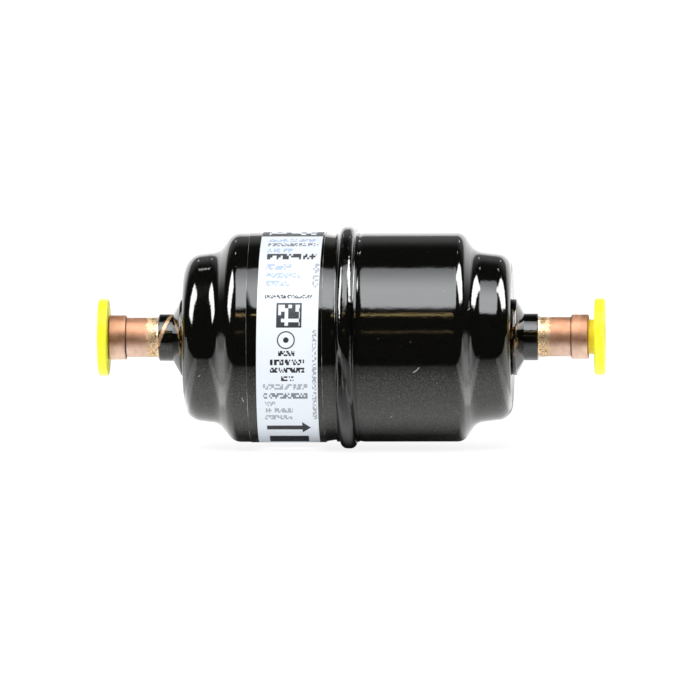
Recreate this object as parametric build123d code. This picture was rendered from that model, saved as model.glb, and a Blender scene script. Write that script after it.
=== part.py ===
from build123d import *
import math
import os

# Hermetic filter drier, lying with its flow axis along X: flow enters at -X and leaves at +X.
# The origin is the middle of the girth weld on the flow axis. All sizes are in millimetres.

# Shell: two drawn steel cups butted at X = 0, each with a stepped-down end.
BODY_RADIUS = 22.0  # outside of the cylindrical body
WALL = 1.0  # drawn steel sheet
BODY_HALF_LENGTH = 24.2  # girth to the corner where the body slopes in
STEP_HEIGHT = 3.95  # radial height of that slope
STEP_LENGTH = 10.2  # body corner to the flat end
STEP_DRAFT = 7.0  # taper of the stepped end, degrees
INLET_SLOPE = 52.0  # fall of the slope, degrees
INLET_SHOULDER = 3.2  # outer radius at the top of the slope
INLET_VALLEY = 3.0  # concave radius at its foot
INLET_NOSE = 3.8  # outer radius round the flat end
OUTLET_SLOPE = 56.0
OUTLET_SHOULDER = 2.6
OUTLET_VALLEY = 3.0
OUTLET_NOSE = 3.2
INLET_NECK_DROP = 0.38  # the cup's edge is drawn in a little towards the weld
INLET_NECK_START = 5.3
INLET_NECK_END = 2.9
OUTLET_NECK_DROP = 0.2
OUTLET_NECK_START = 3.2
OUTLET_NECK_END = 2.2
NECK_BLEND = 4.0

# Girth weld round the butted edges.
WELD_HEIGHT = 1.4  # crown above the body
WELD_TOP = 2.9  # width between the shoulders of the crown
WELD_FLANK = 3.5  # width at the foot of the flanks
WELD_TOE = 4.8  # width over the toes
WELD_ROUND = 0.7

# Copper connections with a widened mouth. The pipe that is soldered into them sets their bore.
PIPE_RADIUS = 3.175  # quarter-inch pipe
SOCKET_GAP = 0.035  # solder gap round the pipe
TUBE_WALL = 0.93
TUBE_REACH = 10.5  # collar to the tube's end
MOUTH_FLARE = 0.52  # how far the mouth stands out beyond the tube
MOUTH_WALL = 0.96
MOUTH_LENGTH = 3.6
MOUTH_TAPER = 0.5  # length of the cone inside the mouth
MOUTH_ROUND = 0.25

# End fittings: turned steel bushings welded on the flat ends.
COLLAR_WALL = 0.76  # steel round the tube
COLLAR_LENGTH = 3.0
COLLAR_CHAMFER = 0.2
CONE_LENGTH = 1.6  # hub to collar
HUB_RIM = 3.1  # how far the hub stands out beyond the collar
HUB_THICKNESS = 0.9
HUB_ROUND = 0.35
STOP_LEDGE = 0.61  # how far the tube's stop stands in beyond its bore
SPIGOT_WALL = 3.0  # the spigot passes through the flat end
SPIGOT_STANDS_IN = 0.8  # spigot's length inside the shell
TUBE_ENGAGEMENT = 3.5  # depth of the tube in the collar
TUBE_GAP = 0.05  # capillary gap round the tube in the collar

# Brazing alloy drawn out of the joint round each tube.
BRAZE_LENGTH = 1.6
BRAZE_HEIGHT = 0.22
BRAZE_EDGE = 0.04

# Push-in dust caps.
CAP_RADIUS = 8.05
CAP_THICKNESS = 2.1
CAP_ROUND = 0.45
CAP_WALL = 0.9
PLUG_LENGTH = 3.0
PLUG_CLEARANCE = 0.06  # plug to mouth, radial
PLUG_ROUND = 0.4
CAP_SEAT_GAP = 0.1  # flange to tube end with the cap pushed home
OUTLET_CAP_STANDS_OUT = 1.2  # the outlet cap isn't pushed home

# Label: a film round part of the inlet half.
LABEL_START = 5.75  # from the girth
LABEL_WIDTH = 12.85
LABEL_THICKNESS = 0.1
LABEL_ARC = 205.0  # degrees round the body
LABEL_PAST_TOP = 15.0  # of which beyond the top, on the rear

# Inside: conical spring, solid core, polyester mat, corrugated perforated plate.
PLATE_THICKNESS = 0.8
PLATE_CLEARANCE = 0.05  # flange to shell, radial
PLATE_FLANGE = 4.0  # overall depth of the cup
PLATE_CONE = 0.9  # axial length of its coned rim, which seats in the outlet shoulder
PLATE_ROUND = 1.2  # outer radius where the cone meets the bottom
RIPPLE_HEIGHT = 1.6
RIPPLE_PITCH = 3.75
RIPPLE_FLAT = 2.2
RIPPLE_ROUND = 0.4
HOLE_RADIUS = 0.9
HOLES_PER_RING = 6  # each ring outwards has this many more
MAT_THICKNESS = 3.0
MAT_CLEARANCE = 0.15
MAT_ROUND = 0.6
CORE_ANNULUS = 1.7  # flow gap between core and shell
CORE_LENGTH = 36.0
CORE_CHAMFER = 1.5
CORE_LAND = 1.7  # width of the core's face outside the spring's recess
SPRING_WIRE = 1.8
SPRING_TURNS = 3.5
SPRING_SEAT_DEPTH = 1.0
SPRING_CLEARANCE = 0.4  # spring to the recess in the core, radial
SPRING_SPIGOT_GAP = 2.3  # spring to the inlet spigot, radial

# Radii that several pieces share.
SOCKET_RADIUS = PIPE_RADIUS + SOCKET_GAP
TUBE_RADIUS = SOCKET_RADIUS + TUBE_WALL
MOUTH_RADIUS = TUBE_RADIUS + MOUTH_FLARE
MOUTH_BORE = MOUTH_RADIUS - MOUTH_WALL
COLLAR_RADIUS = TUBE_RADIUS + TUBE_GAP + COLLAR_WALL
PASSAGE_RADIUS = SOCKET_RADIUS - STOP_LEDGE
SPIGOT_RADIUS = PASSAGE_RADIUS + SPIGOT_WALL
CORE_RADIUS = BODY_RADIUS - WALL - CORE_ANNULUS
SPRING_RECESS_RADIUS = CORE_RADIUS - CORE_CHAMFER - CORE_LAND

# Places along the axis that several pieces share, for the outlet side; the inlet side mirrors them.
END_X = BODY_HALF_LENGTH + STEP_LENGTH
COLLAR_FACE_X = END_X + HUB_THICKNESS + CONE_LENGTH + COLLAR_LENGTH
TUBE_SEAT_X = COLLAR_FACE_X - TUBE_ENGAGEMENT
TUBE_END_X = COLLAR_FACE_X + TUBE_REACH


def turned(*corners):
    """Solid of revolution about the flow axis from (x, radius, corner round) points."""
    outline = FilletPolyline(
        [(x, radius) for x, radius, _ in corners],
        radius=[corner for *_, corner in corners],
        close=True,
    )
    return revolve(make_face(outline), Axis.X)


def under(x, radius, before, after, thickness):
    """Inner side of a sheet's corner between two stretches that fall by those degrees."""
    before, after = math.radians(before), math.radians(after)
    share = thickness / (1 + math.cos(after - before))
    return x - share * (math.sin(before) + math.sin(after)), radius - share * (
        math.cos(before) + math.cos(after)
    )


# Where the plate, the mat and the core lie in the outlet half.
SHOULDER_INSIDE_X, SHELL_BORE = under(BODY_HALF_LENGTH, BODY_RADIUS, 0, OUTLET_SLOPE, WALL)
PLATE_RADIUS = SHELL_BORE - PLATE_CLEARANCE
PLATE_CORNER_X = SHOULDER_INSIDE_X + PLATE_CLEARANCE / math.tan(math.radians(OUTLET_SLOPE))
PLATE_SEAT_X = PLATE_CORNER_X + PLATE_CONE
MAT_OUTLET_X = PLATE_SEAT_X - RIPPLE_HEIGHT - PLATE_THICKNESS
CORE_OUTLET_X = MAT_OUTLET_X - MAT_THICKNESS
CORE_INLET_X = CORE_OUTLET_X - CORE_LENGTH


def shell_half(slope, shoulder, valley, nose, neck_drop, neck_start, neck_end):
    """One drawn cup on the +X side, with a hole in its flat end for the fitting's spigot."""
    fall = math.radians(slope)
    # The rounds at both ends of the slope share its length.
    needed = shoulder * math.tan(fall / 2) + valley * math.tan((fall - math.radians(STEP_DRAFT)) / 2)
    shrink = min(1.0, 0.98 * STEP_HEIGHT / math.sin(fall) / needed)
    shoulder, valley = shoulder * shrink, valley * shrink
    foot_x = BODY_HALF_LENGTH + STEP_HEIGHT / math.tan(fall)
    foot_radius = BODY_RADIUS - STEP_HEIGHT
    end_radius = foot_radius - (END_X - foot_x) * math.tan(math.radians(STEP_DRAFT))
    neck = BODY_RADIUS - neck_drop
    return turned(
        (0, neck, 0),
        (neck_end, neck, NECK_BLEND),
        (neck_start, BODY_RADIUS, NECK_BLEND),
        (BODY_HALF_LENGTH, BODY_RADIUS, shoulder),
        (foot_x, foot_radius, valley),
        (END_X, end_radius, nose),
        (END_X, SPIGOT_RADIUS, 0),
        (END_X - WALL, SPIGOT_RADIUS, 0),
        (*under(END_X, end_radius, STEP_DRAFT, 90, WALL), nose - WALL),
        (*under(foot_x, foot_radius, slope, STEP_DRAFT, WALL), valley + WALL),
        (*under(BODY_HALF_LENGTH, BODY_RADIUS, 0, slope, WALL), shoulder - WALL),
        (neck_start, BODY_RADIUS - WALL, NECK_BLEND),
        (neck_end, neck - WALL, NECK_BLEND),
        (0, neck - WALL, 0),
    )


def girth_weld(inlet_half, outlet_half):
    """Raised bead over the butted edges, with hollow toes that run out on both cups."""
    crown = BODY_RADIUS + WELD_HEIGHT
    surface = BODY_RADIUS
    root = BODY_RADIUS - WALL / 2
    bead = turned(
        (-WELD_TOE / 2, root, 0),
        (-WELD_TOE / 2, surface, 0),
        (-WELD_FLANK / 2, surface, WELD_ROUND),
        (-WELD_TOP / 2, crown, WELD_ROUND),
        (WELD_TOP / 2, crown, WELD_ROUND),
        (WELD_FLANK / 2, surface, WELD_ROUND),
        (WELD_TOE / 2, surface, 0),
        (WELD_TOE / 2, root, 0),
    )
    return bead - inlet_half - outlet_half


def fitting():
    """Turned bushing: spigot, hub rim on the flat end, cone, and collar bored for the tube."""
    hub_x = END_X + HUB_THICKNESS
    cone_x = hub_x + CONE_LENGTH
    inner_x = END_X - WALL - SPIGOT_STANDS_IN
    hub_radius = COLLAR_RADIUS + HUB_RIM
    return turned(
        (inner_x, PASSAGE_RADIUS, 0),
        (inner_x, SPIGOT_RADIUS, 0),
        (END_X, SPIGOT_RADIUS, 0),
        (END_X, hub_radius, HUB_ROUND),
        (hub_x, hub_radius, HUB_ROUND),
        (cone_x, COLLAR_RADIUS, 0),
        (COLLAR_FACE_X - COLLAR_CHAMFER, COLLAR_RADIUS, 0),
        (COLLAR_FACE_X, COLLAR_RADIUS - COLLAR_CHAMFER, 0),
        (COLLAR_FACE_X, TUBE_RADIUS + TUBE_GAP, 0),
        (TUBE_SEAT_X, TUBE_RADIUS + TUBE_GAP, 0),
        (TUBE_SEAT_X, PASSAGE_RADIUS, 0),
    )


def tube():
    """Copper stub with a solder socket bore and a widened mouth."""
    mouth_x = TUBE_END_X - MOUTH_LENGTH
    return turned(
        (TUBE_SEAT_X, SOCKET_RADIUS, 0),
        (TUBE_SEAT_X, TUBE_RADIUS, 0),
        (mouth_x, TUBE_RADIUS, 0),
        (mouth_x, MOUTH_RADIUS, MOUTH_ROUND),
        (TUBE_END_X, MOUTH_RADIUS, MOUTH_ROUND),
        (TUBE_END_X, MOUTH_BORE, 0),
        (mouth_x + MOUTH_TAPER, MOUTH_BORE, 0),
        (mouth_x, SOCKET_RADIUS, 0),
    )


def braze():
    """Thin fillet of alloy from the collar's face out along the tube."""
    return turned(
        (COLLAR_FACE_X, TUBE_RADIUS, 0),
        (COLLAR_FACE_X, TUBE_RADIUS + BRAZE_HEIGHT, 0),
        (COLLAR_FACE_X + BRAZE_LENGTH / 4, TUBE_RADIUS + BRAZE_EDGE, BRAZE_HEIGHT),
        (COLLAR_FACE_X + BRAZE_LENGTH, TUBE_RADIUS + BRAZE_EDGE, 0),
        (COLLAR_FACE_X + BRAZE_LENGTH, TUBE_RADIUS, 0),
    )


def cap(stands_out):
    """Round flange with a hollow plug that enters the tube's mouth."""
    plug = MOUTH_BORE - PLUG_CLEARANCE
    flange_x = TUBE_END_X + CAP_SEAT_GAP + stands_out
    outer_x = flange_x + CAP_THICKNESS
    tip_x = flange_x - PLUG_LENGTH
    return turned(
        (tip_x, 0, 0),
        (tip_x, plug, PLUG_ROUND),
        (flange_x, plug, 0),
        (flange_x, CAP_RADIUS, CAP_ROUND),
        (outer_x, CAP_RADIUS, CAP_ROUND),
        (outer_x, plug - CAP_WALL, PLUG_ROUND),
        (tip_x + CAP_WALL, plug - CAP_WALL, PLUG_ROUND),
        (tip_x + CAP_WALL, 0, 0),
    )


def label():
    """Film wrapped round the front of the inlet half, from past the top to past the bottom."""
    edge_x = -LABEL_START
    strip = Polyline(
        (edge_x, BODY_RADIUS),
        (edge_x, BODY_RADIUS + LABEL_THICKNESS),
        (edge_x - LABEL_WIDTH, BODY_RADIUS + LABEL_THICKNESS),
        (edge_x - LABEL_WIDTH, BODY_RADIUS),
        close=True,
    )
    # The strip starts on +Y, so a turn about X brings its first edge past the top.
    film = revolve(make_face(strip), Axis.X, revolution_arc=LABEL_ARC)
    return Rot(X=90 - LABEL_PAST_TOP) * film


def perforated_plate():
    """Shallow cup with a coned rim and ring corrugations, punched on its crests and troughs."""
    corner = OUTLET_SHOULDER - WALL + PLATE_CLEARANCE
    bottom_radius = PLATE_RADIUS - PLATE_CONE * math.tan(math.radians(OUTLET_SLOPE))
    reach = bottom_radius - PLATE_ROUND * math.tan(math.radians(90 - OUTLET_SLOPE) / 2) - RIPPLE_ROUND
    crest = RIPPLE_FLAT / 2
    foot = RIPPLE_PITCH - RIPPLE_FLAT / 2
    wave = [(RIPPLE_HEIGHT, crest), (0, foot)]
    middle = 2 * RIPPLE_PITCH
    while middle + foot <= reach:
        wave += [(0, middle - foot), (RIPPLE_HEIGHT, middle - crest)]
        wave += [(RIPPLE_HEIGHT, middle + crest), (0, middle + foot)]
        middle += 2 * RIPPLE_PITCH
    outer_x = PLATE_SEAT_X
    inner_x = PLATE_SEAT_X - PLATE_THICKNESS
    edge_x = PLATE_SEAT_X - PLATE_FLANGE
    flange_inside = under(PLATE_CORNER_X, PLATE_RADIUS, 0, OUTLET_SLOPE, PLATE_THICKNESS)
    bottom_inside = under(outer_x, bottom_radius, OUTLET_SLOPE, 90, PLATE_THICKNESS)
    sheet = turned(
        (outer_x - RIPPLE_HEIGHT, 0, 0),
        *[(outer_x - raised, radius, RIPPLE_ROUND) for raised, radius in wave],
        (outer_x, bottom_radius, PLATE_ROUND),
        (PLATE_CORNER_X, PLATE_RADIUS, corner),
        (edge_x, PLATE_RADIUS, 0),
        (edge_x, PLATE_RADIUS - PLATE_THICKNESS, 0),
        (*flange_inside, corner - PLATE_THICKNESS),
        (*bottom_inside, PLATE_ROUND - PLATE_THICKNESS),
        *[(inner_x - raised, radius, RIPPLE_ROUND) for raised, radius in reversed(wave)],
        (inner_x - RIPPLE_HEIGHT, 0, 0),
    )
    punch = Rot(Y=90) * Cylinder(HOLE_RADIUS, 4 * BODY_HALF_LENGTH)
    holes = [punch]
    for ring in range(1, 1 + int((reach - crest) // RIPPLE_PITCH)):
        count = HOLES_PER_RING * ring
        holes += [Rot(X=360 * n / count) * Pos(Y=ring * RIPPLE_PITCH) * punch for n in range(count)]
    return sheet - holes


def filter_mat():
    """Polyester felt disc between the core and the plate's crests."""
    radius = PLATE_RADIUS - PLATE_THICKNESS - MAT_CLEARANCE
    return turned(
        (CORE_OUTLET_X, 0, 0),
        (CORE_OUTLET_X, radius, MAT_ROUND),
        (MAT_OUTLET_X, radius, MAT_ROUND),
        (MAT_OUTLET_X, 0, 0),
    )


def solid_core():
    """Moulded desiccant block with chamfered ends and a recess that centres the spring."""
    return turned(
        (CORE_OUTLET_X, 0, 0),
        (CORE_OUTLET_X, CORE_RADIUS - CORE_CHAMFER, 0),
        (CORE_OUTLET_X - CORE_CHAMFER, CORE_RADIUS, 0),
        (CORE_INLET_X + CORE_CHAMFER, CORE_RADIUS, 0),
        (CORE_INLET_X, CORE_RADIUS - CORE_CHAMFER, 0),
        (CORE_INLET_X, SPRING_RECESS_RADIUS, 0),
        (CORE_INLET_X + SPRING_SEAT_DEPTH, SPRING_RECESS_RADIUS, 0),
        (CORE_INLET_X + SPRING_SEAT_DEPTH, 0, 0),
    )


def core_spring():
    """Conical wire spring from the inlet's flat end to the core, with both ends ground flat."""
    small_x = WALL - END_X
    large_x = CORE_INLET_X + SPRING_SEAT_DEPTH
    length = large_x - small_x
    small_radius = SPIGOT_RADIUS + SPRING_SPIGOT_GAP + SPRING_WIRE / 2
    large_radius = SPRING_RECESS_RADIUS - SPRING_CLEARANCE - SPRING_WIRE / 2
    coil = Helix(
        pitch=length / SPRING_TURNS,
        height=length,
        radius=small_radius,
        center=(small_x, 0, 0),
        direction=(1, 0, 0),
        cone_angle=math.degrees(math.atan2(large_radius - small_radius, length)),
    )
    section = Plane(origin=coil @ 0, z_dir=coil % 0) * Circle(SPRING_WIRE / 2)
    wire = sweep(section, path=coil, is_frenet=True)
    room = Pos(X=(small_x + large_x) / 2) * Box(length, 4 * BODY_RADIUS, 4 * BODY_RADIUS)
    return wire & room


outlet_half = shell_half(
    OUTLET_SLOPE,
    OUTLET_SHOULDER,
    OUTLET_VALLEY,
    OUTLET_NOSE,
    OUTLET_NECK_DROP,
    OUTLET_NECK_START,
    OUTLET_NECK_END,
)
inlet_half = mirror(
    shell_half(
        INLET_SLOPE,
        INLET_SHOULDER,
        INLET_VALLEY,
        INLET_NOSE,
        INLET_NECK_DROP,
        INLET_NECK_START,
        INLET_NECK_END,
    ),
    Plane.YZ,
)

nodes = {
    "shell_inlet_half": inlet_half,
    "shell_outlet_half": outlet_half,
    "girth_weld": girth_weld(inlet_half, outlet_half),
    "inlet_fitting": mirror(fitting(), Plane.YZ),
    "outlet_fitting": fitting(),
    "inlet_tube": mirror(tube(), Plane.YZ),
    "outlet_tube": tube(),
    "inlet_braze": mirror(braze(), Plane.YZ),
    "outlet_braze": braze(),
    "inlet_cap": mirror(cap(0), Plane.YZ),
    "outlet_cap": cap(OUTLET_CAP_STANDS_OUT),
    "label": label(),
    "core_spring": core_spring(),
    "solid_core": solid_core(),
    "filter_mat": filter_mat(),
    "perforated_plate": perforated_plate(),
}

os.makedirs("parts", exist_ok=True)
for name, solid in nodes.items():
    export_step(solid, f"parts/{name}.step")
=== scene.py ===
"""Looks of the filter drier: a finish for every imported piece, a printed label, a weld bead and a studio."""
import logging
import math
from collections.abc import Callable
from dataclasses import dataclass
from enum import Enum
from typing import NamedTuple

import bmesh
import bpy
from mathutils import Matrix, Vector


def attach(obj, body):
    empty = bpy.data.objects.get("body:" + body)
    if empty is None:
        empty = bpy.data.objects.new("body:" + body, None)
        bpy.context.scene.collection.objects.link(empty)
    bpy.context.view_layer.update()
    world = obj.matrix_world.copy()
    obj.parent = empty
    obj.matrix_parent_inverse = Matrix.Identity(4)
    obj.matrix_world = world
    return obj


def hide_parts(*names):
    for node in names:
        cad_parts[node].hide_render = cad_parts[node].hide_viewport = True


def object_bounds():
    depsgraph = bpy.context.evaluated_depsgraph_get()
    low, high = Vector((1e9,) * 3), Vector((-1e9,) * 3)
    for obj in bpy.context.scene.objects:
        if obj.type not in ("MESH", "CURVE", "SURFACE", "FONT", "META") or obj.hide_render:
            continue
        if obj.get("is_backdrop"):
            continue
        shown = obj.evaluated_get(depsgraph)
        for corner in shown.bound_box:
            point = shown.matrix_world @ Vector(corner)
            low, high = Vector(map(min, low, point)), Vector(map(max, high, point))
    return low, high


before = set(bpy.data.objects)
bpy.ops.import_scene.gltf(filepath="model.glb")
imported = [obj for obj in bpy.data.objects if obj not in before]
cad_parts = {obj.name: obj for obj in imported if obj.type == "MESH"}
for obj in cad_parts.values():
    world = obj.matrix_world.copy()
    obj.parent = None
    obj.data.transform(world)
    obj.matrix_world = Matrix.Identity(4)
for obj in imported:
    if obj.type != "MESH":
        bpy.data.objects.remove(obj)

log = logging.getLogger("filter_drier")

MM = 0.001
BODY_RADIUS = 22.0  # outside of the shell's cylinder, mm
MIDDLE = (0.3, 0.7)  # what most of a cloudy pattern lies between
LEAST_DIVISOR = 0.001  # keeps a division away from zero
Value = bpy.types.NodeSocket | float | tuple[float, ...]
Colour = tuple[float, float, float, float]
Corner = tuple[float, float, float]


class Slot(Enum):
    """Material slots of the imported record."""

    ENAMEL = "black_enamel"
    COPPER = "copper"
    BRAZE = "braze_alloy"
    CAP = "cap_yellow"
    LABEL = "label_film"
    SPRING = "spring_steel"
    PLATE = "plate_steel"
    DESICCANT = "desiccant"
    FELT = "felt"


class Cloud(NamedTuple):
    """Measures of a cloudy pattern."""

    size: float  # width of one cloud, mm
    detail: float = 2.0  # how many finer layers it has
    stretch: tuple[float, float, float] = (1, 1, 1)  # how many times longer it is along each axis


class Step(NamedTuple):
    """A smooth step: its start as far as low, its end from high on."""

    low: float
    high: float
    start: float = 0.0
    end: float = 1.0


class Specks(NamedTuple):
    """Measures of scattered round specks."""

    pitch: float  # mean distance between the places where a speck may be, mm
    radius: float  # largest radius of a speck, mm
    share: float  # share of the places that hold one
    edge: float = 0.3  # width of its soft edge, as a share of the radius


class Graph:
    """A node tree written as function calls, each of which adds one node or a few."""

    def __init__(self, tree: bpy.types.NodeTree) -> None:
        """Empties the tree of a material or of the world."""
        tree.nodes.clear()
        self.tree = tree

    def add(self, kind: str, inputs: dict[str | int, Value], **settings: object) -> bpy.types.Node:
        """Adds one node.

        Args:
            kind: The node's Blender type.
            inputs: A socket to link from, or a plain value, for each input by name or number.
            settings: Properties of the node.

        Returns:
            The new node.
        """
        node = self.tree.nodes.new(kind)
        for name, setting in settings.items():
            setattr(node, name, setting)
        for key, value in inputs.items():
            if isinstance(value, bpy.types.NodeSocket):
                self.tree.links.new(value, node.inputs[key])
            else:
                node.inputs[key].default_value = value
        return node

    def math(self, operation: str, *values: Value) -> bpy.types.NodeSocket:
        """One Math node on up to three values, and its result."""
        return self.add("ShaderNodeMath", dict(enumerate(values)), operation=operation).outputs[0]

    def vector_math(self, operation: str, *values: Value) -> bpy.types.Node:
        """One Vector Math node on up to three vectors."""
        return self.add("ShaderNodeVectorMath", dict(enumerate(values)), operation=operation)

    def ramp(self, value: Value, step: Step) -> bpy.types.NodeSocket:
        """A value taken through a smooth step."""
        inputs = dict(enumerate((value, *step)))
        return self.add("ShaderNodeMapRange", inputs, interpolation_type="SMOOTHSTEP").outputs[0]

    def mix(self, factor: Value, first: Value, second: Value) -> bpy.types.NodeSocket:
        """Colour between first, at factor 0, and second, at factor 1, by the node's own colour sockets."""
        inputs = {0: factor, 6: first, 7: second}
        return self.add("ShaderNodeMix", inputs, data_type="RGBA").outputs[2]

    def place(self) -> bpy.types.NodeSocket:
        """Place in the part's own frame, in metres."""
        return self.add("ShaderNodeTexCoord", {}).outputs["Object"]

    def axes(self, vector: Value) -> tuple[bpy.types.NodeSocket, ...]:
        """The three numbers of a vector."""
        return tuple(self.add("ShaderNodeSeparateXYZ", {0: vector}).outputs)

    def vector(self, *numbers: Value) -> bpy.types.NodeSocket:
        """The vector of three numbers."""
        return self.add("ShaderNodeCombineXYZ", dict(enumerate(numbers))).outputs[0]

    def scaled(self, colour: tuple[float, float, float], strength: Value) -> bpy.types.NodeSocket:
        """A colour times a strength."""
        return self.add("ShaderNodeVectorMath", {0: colour, "Scale": strength}, operation="SCALE").outputs[0]

    def noise(self, cloud: Cloud) -> bpy.types.NodeSocket:
        """Cloudy pattern.

        Args:
            cloud: Its measures.

        Returns:
            The pattern, from 0 to 1 and mostly about a half.
        """
        scale = tuple(1 / along for along in cloud.stretch)
        placed = self.add("ShaderNodeMapping", {"Vector": self.place(), "Scale": scale}).outputs[0]
        inputs = {"Vector": placed, "Scale": 1 / (cloud.size * MM), "Detail": cloud.detail}
        return self.add("ShaderNodeTexNoise", inputs).outputs[0]

    def cells(self, size: float) -> bpy.types.Node:
        """Random cells of a mean width in millimetres."""
        return self.add("ShaderNodeTexVoronoi", {"Vector": self.place(), "Scale": 1 / (size * MM)})

    def specks(self, specks: Specks) -> bpy.types.NodeSocket:
        """Scattered round specks.

        Args:
            specks: Their measures.

        Returns:
            1 inside a speck and 0 outside.
        """
        cells = self.cells(specks.pitch)
        radius = specks.radius / specks.pitch
        held = self.math("LESS_THAN", self.axes(cells.outputs["Color"])[0], specks.share)
        near = self.math("SUBTRACT", self.math("MULTIPLY", held, radius), cells.outputs["Distance"])
        return self.ramp(near, Step(0.0, specks.edge * radius))

    def bump(self, height: Value, depth: float, normal: Value | None = None) -> bpy.types.NodeSocket:
        """Normal of a raised surface.

        Args:
            height: How far it is raised, from 0 to 1.
            depth: Millimetres that 1 stands for.
            normal: Normal of the surface under it, or None for the piece's own.

        Returns:
            The normal.
        """
        inputs = {"Height": height, "Distance": depth * MM}
        if normal is not None:
            inputs["Normal"] = normal
        return self.add("ShaderNodeBump", inputs).outputs[0]

    def around(self) -> tuple[bpy.types.NodeSocket, bpy.types.NodeSocket, bpy.types.NodeSocket]:
        """Place round the flow axis.

        Returns:
            Millimetres along the axis, radians above the label's front, and radius in millimetres.
        """
        x, y, z = self.axes(self.place())
        along = self.math("MULTIPLY", x, 1 / MM)
        turn = self.math("ARCTAN2", z, self.math("MULTIPLY", y, -1.0))
        square = self.math("ADD", self.math("MULTIPLY", y, y), self.math("MULTIPLY", z, z))
        return along, turn, self.math("MULTIPLY", self.math("SQRT", square), 1 / MM)

    def within(self, value: Value, low: float, high: float, edge: float) -> bpy.types.NodeSocket:
        """Tells where a value lies between two others.

        Args:
            value: The value.
            low: The lower limit.
            high: The upper limit.
            edge: Width of the soft edge at each.

        Returns:
            1 between the limits and 0 outside.
        """
        up = self.ramp(value, Step(low - edge / 2, low + edge / 2))
        down = self.ramp(value, Step(high + edge / 2, high - edge / 2))
        return self.math("MULTIPLY", up, down)

    def chance(self, *cell: Value) -> bpy.types.NodeSocket:
        """Random number from 0 to 1 for each whole cell."""
        inputs = {"Vector": self.vector(*cell)}
        return self.add("ShaderNodeTexWhiteNoise", inputs, noise_dimensions="3D").outputs[0]

    def join(self, masks: list[Value]) -> bpy.types.NodeSocket:
        """Joins masks.

        Args:
            masks: Two or more of them.

        Returns:
            The largest at each place.
        """
        total = masks[0]
        for mask in masks[1:]:
            total = self.math("MAXIMUM", total, mask)
        return total

    def finish(self, inputs: dict[str | int, Value]) -> None:
        """Ends a material in one Principled shader with those inputs."""
        shader = self.add("ShaderNodeBsdfPrincipled", inputs).outputs[0]
        self.add("ShaderNodeOutputMaterial", {"Surface": shader})


def new_material(name: str) -> tuple[bpy.types.Material, Graph]:
    """Makes a node material.

    Args:
        name: Its name.

    Returns:
        The material and the empty graph that fills it.
    """
    material = bpy.data.materials.new(name)
    material.use_nodes = True
    return material, Graph(material.node_tree)


@dataclass(frozen=True)
class Scratch:
    """A short bright scratch in the enamel."""

    along: float  # its middle on the axis, mm
    up: float  # its middle round the body from the label's front, mm
    slope: float  # degrees from the axis
    length: float
    width: float
    bow: float = 0.15  # how far it bows, at 1 mm from its middle
    fade: float = 0.3  # length of its soft ends
    edge: float = 0.08

    def mask(self, graph: Graph, along: Value, up: Value) -> bpy.types.NodeSocket:
        """Tells where the scratch is.

        Args:
            graph: The material's graph.
            along: Millimetres along the axis.
            up: Millimetres round the body from the label's front.

        Returns:
            1 in the scratch and 0 outside.
        """
        cosine, sine = math.cos(math.radians(self.slope)), math.sin(math.radians(self.slope))
        x = graph.math("SUBTRACT", along, self.along)
        y = graph.math("SUBTRACT", up, self.up)
        run = graph.math("ADD", graph.math("MULTIPLY", x, cosine), graph.math("MULTIPLY", y, sine))
        off = graph.math("SUBTRACT", graph.math("MULTIPLY", y, cosine), graph.math("MULTIPLY", x, sine))
        bow = graph.math("MULTIPLY", graph.math("MULTIPLY", run, run), self.bow)
        off = graph.math("SUBTRACT", off, bow)
        return graph.math(
            "MULTIPLY",
            graph.within(run, -self.length / 2, self.length / 2, self.fade),
            graph.within(off, -self.width / 2, self.width / 2, self.edge),
        )


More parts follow.
